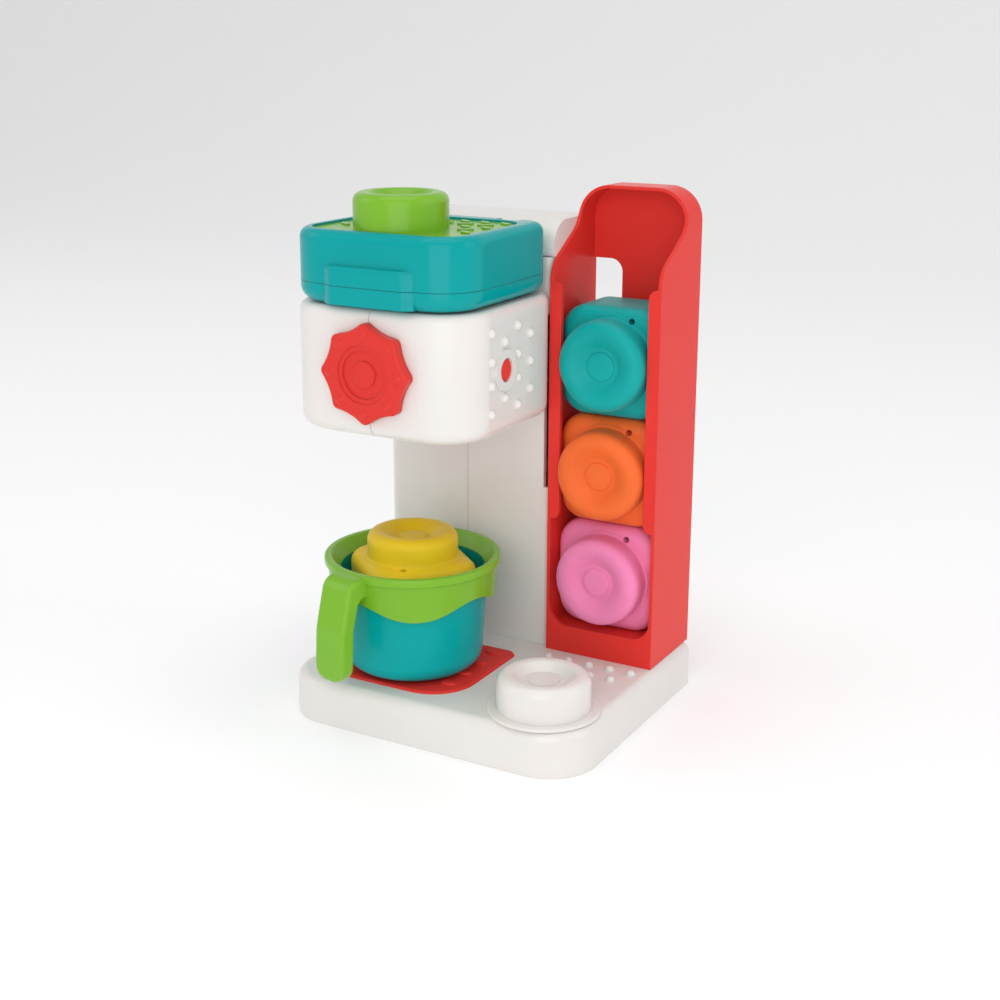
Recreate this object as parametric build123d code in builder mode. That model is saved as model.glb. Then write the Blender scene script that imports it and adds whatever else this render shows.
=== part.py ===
from build123d import *

import os
from math import cos, pi, radians, sin, sqrt

# Toy coffee maker for small children, in millimetres.  It stands on Z = 0 and faces -Y, and
# the origin is the middle of the base's underside.  A soft pod goes in under the lid and rests
# in a cradle.  The knob turns the cradle and the pod drops into the cup.  Three more pods wait
# in the dispenser at the side.

# ---------------------------------------------------------------- driving dimensions
# Fits and fasteners
running_clearance = 0.06    # shaft in its bearing, radial
seat_clearance = 0.15       # moulded piece in its seat
same_place = 0.01           # edges nearer to a plane than this lie in it
pod_clearance = 0.3         # soft pod beside what carries it
screw_radius = 1.5
screw_head_radius = 3.0
screw_head_height = 2.0
screw_slot_length = 3.2
screw_slot_width = 0.9
post_radius = 3.6
counterbore_wall = 1.4
hole_spare = 1.0            # how much deeper a screw's hole is than the screw
smallest_radius = 0.5       # of an inner corner whose outer corner is tight
dome_radius = 2.2
dome_height = 1.9
dome_root = 0.3             # how far a dome is let into its wall

# Soft pods: a cushion-like square body with a round stud, and a socket behind
pod_width = 49.6
pod_depth = 31.0
pod_corner_radius = 12.0
pod_edge_radius = 5.0
pod_back_edge_radius = 3.5
stud_radius = 20.3
stud_height = 12.0
stud_edge_radius = 4.0
stud_dish_radius = 14.0
stud_dish_floor_radius = 9.4
stud_lip_radius = 3.0
stud_dish_depth = 3.4
stud_disc_radius = 6.8
stud_disc_sink = 2.9        # the disc stands this far below the stud's end
hollow_stud_wall = 2.5      # of the hard studs on the base and the lid
socket_neck = 12.0
socket_depth = 17.0
socket_chamber_radius = 22.8
air_hole_radius = 1.1
air_hole_from_axis = 21.6
air_hole_angle = 62.0

# Base and its cover
wall = 2.5
base_width = 148.0
base_depth = 128.0
base_height = 20.0
base_front_radius = 22.0
base_back_radius = 6.0
base_edge_radius = 4.5
base_rib_height = 8.0
rib_thickness = 1.6
cover_thickness = 2.2
cover_boss_height = 6.0
cover_screw_inset = 16.0
cover_screw_seat = 4.0
cover_screw_length = 10.0
base_dome_pitch = 10.4
base_dome_from_dispenser = 8.5

# Parking stud on the base
parking_stud_height = 16.3
parking_stud_flange = 4.2
parking_stud_flange_height = 1.2
parking_stud_flange_radius = 0.8
parking_stud_side = 26.0    # from the base's right edge to the stud's axis
parking_stud_front = 24.5   # from the base's front edge to the stud's axis
spigot_radius = 8.0
spigot_bore_radius = 5.5
spigot_depth = 5.0

# Drip mat
mat_width = 72.0
mat_depth = 61.0
mat_from_front = 11.0
mat_front_radius = 20.0
mat_back_radius = 5.0
mat_recess = 1.2
mat_rise = 1.0
mat_edge_radius = 0.8
oval_pitch = 13.4
oval_half_length = 3.6
oval_half_width = 2.2
oval_height = 0.8
oval_columns = 5
oval_rows = 4
oval_rows_shift = 3.6       # the rows' middle is behind the mat's middle

# Column
column_width = 88.0
column_depth = 40.0
column_top = 203.0
column_front_radius = 5.0
column_back_radius = 3.0
column_gap = 0.1
column_screw_inset = 8.0
column_screw_length = 11.0
column_post_height = 14.0
shell_screw_heights = (46.0, 102.0, 158.0, 191.0)
shell_screw_length = 16.0
shell_screw_before_split = 8.0
latch_slot_width = 3.9
latch_slot_depth = 5.5
latch_slot_low = 97.0
latch_slot_high = 177.5
latch_thickness = 2.2
latch_reach = 3.0
latch_clearance = 0.3

# Head
head_width = 91.4
head_front = 56.9           # from the base's middle to the head's front
head_back = 28.0            # the head runs this far back, into the column
head_bottom = 133.0
head_height = 55.0
head_front_radius = 22.0
head_back_radius = 16.0
head_top_edge = 4.0
head_bottom_edge = 6.0
head_dome_pitch = 11.26
head_dome_heights = (       # from the ring's middle, for each upright row of domes
    (-17.2, -5.1, 5.1, 17.2),
    (-12.1, 12.1),
    (-17.2, -5.1, 5.1, 17.2),
    (-12.1, 0.0, 12.1),
)
ring_radius = 9.0
ring_height = 1.2

# Pod well, cradle and their bearings
axle_above_head_bottom = 28.5
pod_axis_front = 23.1       # from the base's middle to the axis on which the pods drop
chute_clearance = 1.6
outlet_clearance = 2.7
outlet_corner_radius = 3.0
well_clearance = 1.4
well_wall = 1.5
well_flange_thickness = 2.0
well_flange_radius = 6.0
well_above_axle = 11.0      # the guide walls end above the cradle's sweep
well_wall_half_length = 18.8
ear_clearance = 1.6
ear_thickness = 2.0
ear_margin = 2.5
side_pin_radius = 5.0
side_pin_chamfer = 0.6
side_pin_sink = 0.6         # the pin's end is this far inside the ring's face
cradle_floor_radius = 26.2
cradle_thickness = 1.6
cradle_half_angle = 20.0
cradle_arm_gap = 1.2
cradle_arm_thickness = 2.0
cradle_hub_radius = 9.0
cradle_end_play = 0.6
journal_radius = 6.0
journal_bore_radius = 3.8
bearing_boss_wall = 3.0
bearing_web_thickness = 2.2
rear_bearing_length = 5.0
key_width = 7.0
key_floor = 1.0

# Knob
knob_point_radius = 22.4    # to the points before they are rounded
knob_valley_radius = 19.2
knob_point_rounding = 3.0
knob_lobes = 8
knob_thickness = 4.9
knob_edge_radius = 1.4
knob_gap = 0.4
knob_bump_radius = 2.2
knob_bump_height = 1.0
knob_bump_circle = 16.8
knob_dish_radius = 12.6
knob_dish_depth = 0.6
knob_groove_radius = 10.5
knob_groove_depth = 1.5
knob_disc_radius = 5.6

# Lid
lid_width = 87.5
lid_front = 57.0            # from the base's middle to the lid's front
lid_back = 22.0
lid_gap = 0.6
lid_height = 31.0
lid_parting = 8.6
lid_wall = 2.2
lid_front_radius = 20.0
lid_back_radius = 10.0
lid_top_edge = 4.5
lid_bottom_edge = 6.0
lid_recess_depth = 2.5
lid_recess_radius = 12.0
lid_front_rim = 5.4
lid_side_rim = 6.5
lid_back_rim = 10.5
lid_tongue_height = 1.5
lid_tongue_thickness = 1.2
lid_screw_side = 32.0
lid_screw_from_front = 17.0
lid_screw_from_back = 18.0
lid_screw_length = 12.0
lid_screw_sink = 0.6
lid_plate_thickness = 1.5
lid_stud_height = 16.0
lid_stud_margin = 0.15      # from the stud to the plate's front edge
leaf_rows = 5
leaf_columns = 7            # in the first row, and one fewer in the next
leaf_pitch_x = 10.0
leaf_pitch_y = 8.5
leaf_half_length = 3.6
leaf_half_width = 1.5
leaf_height = 0.7
leaf_turn = 35.0
leaf_margin = 4.5
grip_width = 44.0
grip_depth = 2.8
grip_flare = 4.5
grip_corner_radius = 5.0
grip_edge_radius = 2.0
grip_bottom_gap = 0.8
grip_height = 17.0

# Lid hinge
hinge_pin_radius = 1.5
hinge_pin_chamfer = 0.3
hinge_knuckle_radius = 3.2
hinge_from_back = 4.5
hinge_below_top = 6.2
hinge_spacing = 52.0
hinge_lug_width = 10.0
hinge_side_gap = 0.6
hinge_swing_gap = 0.5
hinge_pocket_wall = 1.6
hinge_lug_height = 5.6

# Hood on top of the column
hood_height = 16.0
hood_front_radius = 12.0
hood_back_radius = 3.0
hood_lower_radius = 2.5
hood_skirt_height = 3.0
hood_skirt_thickness = 1.6
hood_step = 2.0

# Pod dispenser
dispenser_width = 53.2
dispenser_depth = 43.3
dispenser_wall = 1.5
dispenser_back_wall = 2.0
dispenser_top = 233.5
dispenser_top_radius = 15.0
dispenser_side = 3.2        # from the base's right edge
dispenser_floor = 33.0
dispenser_floor_thickness = 2.0
dispenser_screw_spacing = 32.0
dispenser_screw_from_front = 13.3
dispenser_screw_length = 11.0
dispenser_pod_back = 4.3    # from the back wall to the pods
lip_width = 5.7
lip_thickness = 2.4
lip_end_radius = 3.8
lip_bottom = 84.0
lip_top = 193.0
sill_radius = 9.0
scoop_depth = 27.4
scoop_low = 200.1
scoop_high = 216.7
scoop_radius = 12.0
back_slot_bottom = 45.0
back_slot_top = 199.0
back_slot_width = 14.3
back_slot_radius = 6.0

# Cup
cup_axis_front = 25.0       # from the base's middle to the cup's axis
cup_rim_radius = 39.5
cup_rim_height = 74.0
cup_rim_band = 4.0
cup_rim_thickness = 3.0
cup_rim_edge_radius = 1.2
cup_skirt_top_radius = 38.0
cup_skirt_low_radius = 36.8
cup_skirt_height = 20.4     # from the rim's top to the skirt's lowest edge
cup_wave_height = 6.4
wave_overlap = 0.5
cup_wall = 1.8
cup_floor = 2.2
cup_body_top_radius = 33.85
cup_body_low_radius = 30.9
cup_rim_above_body = 6.0
cup_foot_radius = 8.0
cup_lift = 0.02             # between the mat's ovals and the cup's foot
cup_rib_inner_radius = 21.0
cup_ribs = 8
cup_rib_toe = 3.0           # how far the ribs' lower corner keeps from the cup's outer corner
cup_pod_bottom = 41.5
cup_pod_turn = -130.4
handle_angle = -101.0
handle_width = 17.0
handle_thickness = 8.0
handle_bottom = 28.5
handle_reach = 54.2
handle_root = 36.5          # the strap starts inside the collar's wall
handle_sink = 0.6           # the strap's top is this far below the rim
handle_root_height = 10.0
handle_shoulder = 47.5
handle_shoulder_radius = 7.0
handle_knee = 53.0
handle_drop = 23.0
handle_bend_radius = 20.0
handle_armpit = 41.5
handle_armpit_radius = 4.0
handle_corner_radius = 6.5
handle_edge_radius = 2.0

# ---------------------------------------------------------------- places worked out
base_front_y = -base_depth / 2
base_back_y = base_depth / 2
under_top = base_height - wall
dispenser_x = base_width / 2 - dispenser_side - dispenser_width / 2
dispenser_left = dispenser_x - dispenser_width / 2
dispenser_front_y = base_back_y - dispenser_depth
dispenser_inside_back_y = base_back_y - dispenser_back_wall
machine_x = dispenser_left - column_gap - column_width / 2
column_left = machine_x - column_width / 2
column_right = machine_x + column_width / 2
column_front_y = base_back_y - column_depth
column_mid_y = base_back_y - column_depth / 2
head_top = head_bottom + head_height
axle_height = head_bottom + axle_above_head_bottom
head_front_y = -head_front
pod_axis_y = -pod_axis_front
mat_y = base_front_y + mat_from_front + mat_depth / 2
mat_top = base_height + mat_rise
parking_stud_x = base_width / 2 - parking_stud_side
parking_stud_y = base_front_y + parking_stud_front
cup_y = -cup_axis_front
cup_bottom = mat_top + oval_height + cup_lift
cup_body_top = cup_rim_height - cup_rim_above_body
cup_skirt_low = cup_rim_height - cup_skirt_height
cup_skirt_high = cup_skirt_low + cup_wave_height
lid_bottom = head_top + lid_gap
lid_top = lid_bottom + lid_height
lid_split = lid_bottom + lid_parting
lid_recess_floor = lid_top - lid_recess_depth
hinge_y = lid_back - hinge_from_back
hinge_z = lid_top - hinge_below_top
hood_top = column_top + hood_height
arm_inner = pod_width / 2 + cradle_arm_gap
arm_outer = arm_inner + cradle_arm_thickness
cradle_outer_radius = cradle_floor_radius + cradle_thickness
front_arm_y = pod_axis_y - arm_outer
rear_arm_y = pod_axis_y + arm_outer
bearing_web_y = rear_arm_y + cradle_end_play
well_inner = pod_width / 2 + well_clearance
well_outer = well_inner + well_wall
counterbore_radius = screw_head_radius + seat_clearance
counterbore_boss_radius = counterbore_radius + counterbore_wall

column_screw_x = column_width / 2 - column_screw_inset
column_screw_y = column_depth / 2 - column_screw_inset
column_screw_places = [
    (machine_x + sx * column_screw_x, column_mid_y + sy * column_screw_y) for sx in (-1, 1) for sy in (-1, 1)
]
cover_screw_places = [
    (sx * (base_width / 2 - cover_screw_inset), sy * (base_depth / 2 - cover_screw_inset))
    for sx in (-1, 1)
    for sy in (-1, 1)
]
dispenser_screw_places = [
    (dispenser_x + sx * dispenser_screw_spacing / 2, dispenser_front_y + dispenser_screw_from_front)
    for sx in (-1, 1)
]
lid_screw_places = [
    (machine_x + sx * lid_screw_side, y)
    for sx in (-1, 1)
    for y in (-lid_front + lid_screw_from_front, lid_back - lid_screw_from_back)
]

# ---------------------------------------------------------------- views and shared forms


def front_plane(y):
    """Plane at depth y that is drawn as seen from the front: X to the right, Z up."""
    return Plane.XZ.offset(-y)


def side_plane(x):
    """Plane at x that is drawn as seen from the right: Y to the right, Z up."""
    return Plane.YZ.offset(x)


def rounded_outline(width, y_low, y_high, front_radius, back_radius, x=0.0):
    """Rectangle seen from above, with its own radius at the front and at the back corners."""
    with BuildSketch(mode=Mode.PRIVATE) as outline:
        with Locations((x, (y_low + y_high) / 2)):
            Rectangle(width, y_high - y_low)
        fillet(outline.vertices().group_by(Axis.Y)[0], front_radius)
        fillet(outline.vertices().group_by(Axis.Y)[-1], back_radius)
    return outline.sketch


def make_dome(radius, height):
    """Low touch dome on the XY plane, with a short root below it."""
    ball_radius = (radius**2 + height**2) / (2 * height)
    with BuildPart(mode=Mode.PRIVATE) as one_dome:
        with BuildSketch(Plane.XZ):
            with BuildLine():
                Polyline((0, height), (0, -dome_root), (radius, -dome_root), (radius, 0))
                RadiusArc((radius, 0), (0, height), -ball_radius)
            make_face()
        revolve(axis=Axis.Z)
    return one_dome.part


def stud_profile(end, foot):
    """Half section of a stud, from its middle at the end, over the rounded rim, down to its foot."""
    return [
        (0, end - stud_disc_sink),
        (stud_disc_radius, end - stud_disc_sink),
        (stud_disc_radius, end - stud_dish_depth),
        (stud_dish_floor_radius, end - stud_dish_depth),
        (stud_dish_radius, end),
        (stud_radius, end),
        (stud_radius, foot),
    ]


stud_rounding = [0, 0, 0, 0, stud_lip_radius, stud_edge_radius, 0]


def make_screws(seats, length):
    """Pan-head screws: each head's underside lies on its seat plane, the shank runs along the normal."""
    with BuildPart() as screws:
        with BuildSketch(*seats):
            Circle(screw_radius - running_clearance)
        extrude(amount=length)
        with BuildSketch(*seats):
            Circle(screw_head_radius)
        extrude(amount=-screw_head_height)
        with BuildSketch(*[seat.offset(-screw_head_height) for seat in seats]):
            Rectangle(screw_slot_length, screw_slot_width)
            Rectangle(screw_slot_width, screw_slot_length)
        extrude(amount=screw_slot_width, mode=Mode.SUBTRACT)
    return screws


os.makedirs("parts", exist_ok=True)
touch_dome = make_dome(dome_radius, dome_height)


# ---------------------------------------------------------------- soft pods
def make_pod(back_plane):
    """Soft pod whose back lies on the plane and whose stud points along the plane's normal."""

    def rim_at(part, height):
        above = back_plane.offset(height)
        return part.edges().filter_by(lambda edge: abs(above.to_local_coords(edge.center()).Z) < same_place)

    with BuildPart() as pod:
        with BuildSketch(back_plane):
            RectangleRounded(pod_width, pod_width, pod_corner_radius)
        extrude(amount=pod_depth)
        fillet(rim_at(pod, 0), pod_back_edge_radius)
        fillet(rim_at(pod, pod_depth), pod_edge_radius)
        with BuildSketch(Plane(origin=back_plane.origin, x_dir=back_plane.x_dir, z_dir=-back_plane.y_dir)):
            with BuildLine():
                FilletPolyline(
                    *stud_profile(pod_depth + stud_height, socket_depth + stud_lip_radius),
                    (0, socket_depth + stud_lip_radius),
                    radius=[*stud_rounding, 0],
                    close=True,
                )
            make_face()
        revolve(axis=Axis(back_plane.origin, back_plane.z_dir))
        with BuildSketch(back_plane):
            Circle(stud_radius + seat_clearance)
        extrude(amount=socket_neck, mode=Mode.SUBTRACT)
        with BuildSketch(back_plane.offset(socket_neck)):
            Circle(socket_chamber_radius)
        extrude(amount=socket_depth - socket_neck, mode=Mode.SUBTRACT)
        with BuildSketch(back_plane.offset(socket_depth)):
            with PolarLocations(air_hole_from_axis, 1, start_angle=air_hole_angle):
                Circle(air_hole_radius)
        extrude(amount=pod_depth - socket_depth, mode=Mode.SUBTRACT)
    return pod


# The dispenser's pods stand on one another with their studs to the front
for row, colour in enumerate(("pink", "orange", "teal")):
    pod_z = dispenser_floor + pod_clearance + pod_width / 2 + row * (pod_width + pod_clearance)
    standing_plane = Plane(
        origin=(dispenser_x, dispenser_inside_back_y - dispenser_pod_back, pod_z),
        x_dir=(1, 0, 0),
        z_dir=(0, -1, 0),
    )
    waiting_pod = make_pod(standing_plane)
    waiting_pod.part.label = f"pod_{colour}"
    export_step(waiting_pod.part, f"parts/pod_{colour}.step")

# The cup's pod lies on the cup's ribs with its stud up, turned as it fell
lying_plane = Plane(
    origin=(machine_x, cup_y, cup_pod_bottom),
    x_dir=(cos(radians(cup_pod_turn)), sin(radians(cup_pod_turn)), 0),
    z_dir=(0, 0, 1),
)
pod_yellow = make_pod(lying_plane)
pod_yellow.part.label = "pod_yellow"
export_step(pod_yellow.part, "parts/pod_yellow.step")


# ---------------------------------------------------------------- base
def base_outline(shrink):
    return rounded_outline(
        base_width - 2 * shrink,
        base_front_y + shrink,
        base_back_y - shrink,
        base_front_radius - shrink,
        base_back_radius - shrink,
    )


def mat_outline(grow):
    return rounded_outline(
        mat_width + 2 * grow,
        mat_y - mat_depth / 2 - grow,
        mat_y + mat_depth / 2 + grow,
        mat_front_radius + grow,
        mat_back_radius + grow,
        machine_x,
    )


cross_rib_y = column_front_y - post_radius
base_dome_y = dispenser_front_y - base_dome_from_dispenser
base_dome_places = [(dispenser_x + step * base_dome_pitch, base_dome_y, base_height) for step in range(-2, 3)]
base_dome_places += [
    (dispenser_x + (step + 0.5) * base_dome_pitch, base_dome_y - base_dome_pitch, base_height)
    for step in range(-1, 2)
]

with BuildPart() as base_shell:
    with BuildSketch():
        add(base_outline(0))
    extrude(amount=base_height)
    fillet(base_shell.edges().group_by(Axis.Z)[-1], base_edge_radius)
    with BuildSketch():
        add(base_outline(wall))
    extrude(amount=under_top, mode=Mode.SUBTRACT)
    # posts that the cover is screwed to
    with BuildSketch(Plane.XY.offset(cover_boss_height)):
        with Locations(*cover_screw_places):
            Circle(post_radius)
            Circle(screw_radius, mode=Mode.SUBTRACT)
    extrude(amount=under_top - cover_boss_height)
    # ribs under the top, in front of the column and beside the dispenser
    with BuildSketch(Plane.XY.offset(under_top - base_rib_height)):
        with Locations((0, cross_rib_y)):
            Rectangle(base_width - 2 * wall, rib_thickness)
        with Locations((dispenser_left - post_radius, (base_front_y + wall + cross_rib_y) / 2)):
            Rectangle(rib_thickness, cross_rib_y - base_front_y - wall)
    extrude(amount=base_rib_height)
    # recess of the drip mat
    with BuildSketch(Plane.XY.offset(base_height)):
        add(mat_outline(seat_clearance))
    extrude(amount=-mat_recess, mode=Mode.SUBTRACT)
    # holes for the parking stud's spigot and for the screws of the column and the dispenser
    with BuildSketch(Plane.XY.offset(under_top)):
        with Locations((parking_stud_x, parking_stud_y)):
            Circle(spigot_radius + seat_clearance)
        with Locations(*column_screw_places, *dispenser_screw_places):
            Circle(screw_radius)
    extrude(amount=wall, mode=Mode.SUBTRACT)
    with Locations(*base_dome_places):
        add(touch_dome)
base_shell.part.label = "base_shell"
export_step(base_shell.part, "parts/base_shell.step")

with BuildPart() as base_cover:
    with BuildSketch():
        add(base_outline(wall + seat_clearance))
    extrude(amount=cover_thickness)
    with BuildSketch():
        with Locations(*cover_screw_places):
            Circle(counterbore_boss_radius)
    extrude(amount=cover_boss_height)
    with Locations(*[Location((x, y, 0), (180, 0, 0)) for x, y in cover_screw_places]):
        CounterBoreHole(screw_radius, counterbore_radius, cover_screw_seat, cover_boss_height)
base_cover.part.label = "base_cover"
export_step(base_cover.part, "parts/base_cover.step")

cover_screws = make_screws(
    [Plane(origin=(x, y, cover_screw_seat)) for x, y in cover_screw_places], cover_screw_length
)
cover_screws.part.label = "cover_screws"
export_step(cover_screws.part, "parts/cover_screws.step")

column_screws = make_screws(
    [Plane(origin=(x, y, under_top)) for x, y in column_screw_places], column_screw_length
)
column_screws.part.label = "column_screws"
export_step(column_screws.part, "parts/column_screws.step")

dispenser_screws = make_screws(
    [Plane(origin=(x, y, under_top)) for x, y in dispenser_screw_places], dispenser_screw_length
)
dispenser_screws.part.label = "dispenser_screws"
export_step(dispenser_screws.part, "parts/dispenser_screws.step")

# ---------------------------------------------------------------- parking stud
parking_stud_top = base_height + parking_stud_height
parking_dish_floor = parking_stud_top - stud_dish_depth
parking_stud_ceiling = parking_dish_floor - hollow_stud_wall
with BuildPart() as parking_stud:
    with BuildSketch(Plane(origin=(parking_stud_x, parking_stud_y, 0), x_dir=(1, 0, 0), z_dir=(0, -1, 0))):
        with BuildLine():
            FilletPolyline(
                *stud_profile(parking_stud_top, base_height + parking_stud_flange_height),
                (stud_radius + parking_stud_flange, base_height + parking_stud_flange_height),
                (stud_radius + parking_stud_flange, base_height),
                (stud_radius - hollow_stud_wall, base_height),
                (stud_radius - hollow_stud_wall, parking_stud_ceiling),
                (spigot_radius, parking_stud_ceiling),
                (spigot_radius, base_height - spigot_depth),
                (spigot_bore_radius, base_height - spigot_depth),
                (spigot_bore_radius, parking_stud_ceiling),
                (0, parking_stud_ceiling),
                radius=[*stud_rounding, parking_stud_flange_radius] + [0] * 8,
                close=True,
            )
        make_face()
    revolve(axis=Axis((parking_stud_x, parking_stud_y, 0), (0, 0, 1)))
parking_stud.part.label = "parking_stud"
export_step(parking_stud.part, "parts/parking_stud.step")

# ---------------------------------------------------------------- drip mat
with BuildPart() as drip_mat:
    with BuildSketch(Plane.XY.offset(base_height - mat_recess)):
        add(mat_outline(0))
    extrude(amount=mat_recess + mat_rise)
    fillet(drip_mat.edges().group_by(Axis.Z)[-1], mat_edge_radius)
    with BuildSketch(Plane.XY.offset(mat_top)):
        with Locations((machine_x, mat_y + oval_rows_shift)):
            with GridLocations(oval_pitch, oval_pitch, oval_columns, oval_rows):
                Ellipse(oval_half_length, oval_half_width)
    extrude(amount=oval_height)
    chamfer(drip_mat.edges().group_by(Axis.Z)[-1], oval_height / 2)
drip_mat.part.label = "drip_mat"
export_step(drip_mat.part, "parts/drip_mat.step")


# ---------------------------------------------------------------- column and head
def column_outline(shrink):
    return rounded_outline(
        column_width - 2 * shrink,
        column_front_y + shrink,
        base_back_y - shrink,
        column_front_radius - shrink,
        max(column_back_radius - shrink, smallest_radius),
        machine_x,
    )


def make_head(shrink):
    """The head's outer form, or with a shrink the space inside it."""
    with BuildPart(mode=Mode.PRIVATE) as head:
        with BuildSketch(Plane.XY.offset(head_bottom + shrink)):
            add(
                rounded_outline(
                    head_width - 2 * shrink,
                    head_front_y + shrink,
                    head_back - shrink,
                    head_front_radius - shrink,
                    head_back_radius - shrink,
                    machine_x,
                )
            )
        extrude(amount=head_height - 2 * shrink)
        fillet(head.edges().group_by(Axis.Z)[-1], head_top_edge - shrink)
        fillet(head.edges().group_by(Axis.Z)[0], head_bottom_edge - shrink)
    return head.part


def axle_cylinder(radius, y_low, y_high, mode):
    """Cylinder about the knob's axis, added to or cut from the piece that is being made."""
    with BuildSketch(front_plane(y_low)) as round_section:
        with Locations((machine_x, axle_height)):
            Circle(radius)
    extrude(round_section.sketch, amount=y_low - y_high, mode=mode)


shell_boss_places = [(column_mid_y, height) for height in shell_screw_heights]
shell_screw_seat_x = machine_x - shell_screw_before_split
journal_hole_radius = journal_radius + running_clearance
bearing_boss_radius = journal_hole_radius + bearing_boss_wall
front_bearing_end_y = front_arm_y - cradle_end_play
rear_bearing_end_y = bearing_web_y + rear_bearing_length
head_inside_width = head_width - 2 * wall
inlet_width = pod_width + 2 * chute_clearance
outlet_width = pod_width + 2 * outlet_clearance
outlet_depth = 2 * (arm_outer + seat_clearance)
outer_head = make_head(0)
inner_head = make_head(wall)

with BuildPart() as body:
    with BuildSketch(Plane.XY.offset(base_height)):
        add(column_outline(0))
    extrude(amount=column_top - base_height)
    add(outer_head)
    with BuildSketch(Plane.XY.offset(base_height)):
        add(column_outline(wall))
    extrude(amount=column_top - base_height, mode=Mode.SUBTRACT)
    add(inner_head, mode=Mode.SUBTRACT)
    # doorway between the head and the column
    with BuildSketch(front_plane(head_back - wall - 1)):
        with Locations((machine_x, head_bottom + head_height / 2)):
            Rectangle(head_width - 2 * head_back_radius, head_height - 2 * head_bottom_edge)
    extrude(amount=-2 * wall, mode=Mode.SUBTRACT)
    # rear bearing in a web across the head, and front bearing behind the knob
    with BuildSketch(front_plane(bearing_web_y)):
        with Locations((machine_x, head_bottom + head_height / 2)):
            Rectangle(head_inside_width, head_height - 2 * wall)
    extrude(amount=-bearing_web_thickness)
    axle_cylinder(bearing_boss_radius, bearing_web_y, rear_bearing_end_y, Mode.ADD)
    axle_cylinder(bearing_boss_radius, head_front_y + wall / 2, front_bearing_end_y, Mode.ADD)
    axle_cylinder(journal_hole_radius, head_front_y, front_bearing_end_y, Mode.SUBTRACT)
    axle_cylinder(journal_hole_radius, bearing_web_y, rear_bearing_end_y, Mode.SUBTRACT)
    # posts for the screws that come up through the base, each webbed to the side wall
    for x, y in column_screw_places:
        outward = 1 if x > machine_x else -1
        with BuildSketch(Plane.XY.offset(base_height)):
            with Locations((x + outward * (column_screw_inset - wall / 2) / 2, y)):
                Rectangle(column_screw_inset - wall / 2, rib_thickness)
            with Locations((x, y)):
                Circle(post_radius)
        extrude(amount=column_post_height)
    with BuildSketch(Plane.XY.offset(base_height)):
        with Locations(*column_screw_places):
            Circle(screw_radius)
    extrude(amount=column_screw_length - wall + hole_spare, mode=Mode.SUBTRACT)
    # bosses across the column for the screws that join the two shells
    with BuildSketch(side_plane(column_left + wall / 2)):
        with Locations(*shell_boss_places):
            Circle(counterbore_boss_radius)
    extrude(amount=machine_x - column_left - wall / 2)
    with BuildSketch(side_plane(machine_x)):
        with Locations(*shell_boss_places):
            Circle(post_radius)
    extrude(amount=column_right - machine_x - wall / 2)
    with BuildSketch(side_plane(column_left)):
        with Locations(*shell_boss_places):
            Circle(counterbore_radius)
    extrude(amount=shell_screw_seat_x - column_left, mode=Mode.SUBTRACT)
    with BuildSketch(side_plane(shell_screw_seat_x)):
        with Locations(*shell_boss_places):
            Circle(screw_radius)
    extrude(amount=shell_screw_length + hole_spare, mode=Mode.SUBTRACT)
    # pod inlet in the top, outlet in the bottom
    with BuildSketch(Plane.XY.offset(head_top)):
        with Locations((machine_x, pod_axis_y)):
            RectangleRounded(inlet_width, inlet_width, pod_corner_radius + chute_clearance)
    extrude(amount=-wall, mode=Mode.SUBTRACT)
    with BuildSketch(Plane.XY.offset(head_bottom)):
        with Locations((machine_x, pod_axis_y)):
            RectangleRounded(outlet_width, outlet_depth, outlet_corner_radius)
    extrude(amount=wall, mode=Mode.SUBTRACT)
    # rings round the side pins, and the touch domes beside them
    for outward in (-1, 1):
        with BuildSketch(side_plane(machine_x + outward * (head_width / 2 - wall / 2))):
            with Locations((pod_axis_y, axle_height)):
                Circle(ring_radius)
        extrude(amount=outward * (wall / 2 + ring_height))
        with BuildSketch(side_plane(machine_x + outward * (head_width / 2 + ring_height))):
            with Locations((pod_axis_y, axle_height)):
                Circle(side_pin_radius + seat_clearance)
        extrude(amount=-outward * (ring_height + wall), mode=Mode.SUBTRACT)
        for step, heights in enumerate(head_dome_heights):
            dome_y = pod_axis_y + (step - 1) * head_dome_pitch
            dome_x = machine_x + outward * head_width / 2
            for height in heights:
                with Locations(Location((dome_x, dome_y, axle_height + height), (0, outward * 90, 0))):
                    add(touch_dome)
    # slot for the dispenser's latch in the column's front corner
    with BuildSketch(Plane.XY.offset(latch_slot_low)):
        with Locations((column_right - latch_slot_width / 2, column_front_y + latch_slot_depth / 2)):
            Rectangle(latch_slot_width, latch_slot_depth)
    extrude(amount=latch_slot_high - latch_slot_low, mode=Mode.SUBTRACT)

with BuildPart() as body_left_shell:
    add(body.part)
    split(bisect_by=side_plane(machine_x), keep=Keep.BOTTOM)
body_left_shell.part.label = "body_left_shell"
export_step(body_left_shell.part, "parts/body_left_shell.step")

with BuildPart() as body_right_shell:
    add(body.part)
    split(bisect_by=side_plane(machine_x), keep=Keep.TOP)
body_right_shell.part.label = "body_right_shell"
export_step(body_right_shell.part, "parts/body_right_shell.step")

shell_screws = make_screws(
    [
        Plane(origin=(shell_screw_seat_x, column_mid_y, height), x_dir=(0, 1, 0), z_dir=(1, 0, 0))
        for height in shell_screw_heights
    ],
    shell_screw_length,
)
shell_screws.part.label = "shell_screws"
export_step(shell_screws.part, "parts/shell_screws.step")

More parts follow.
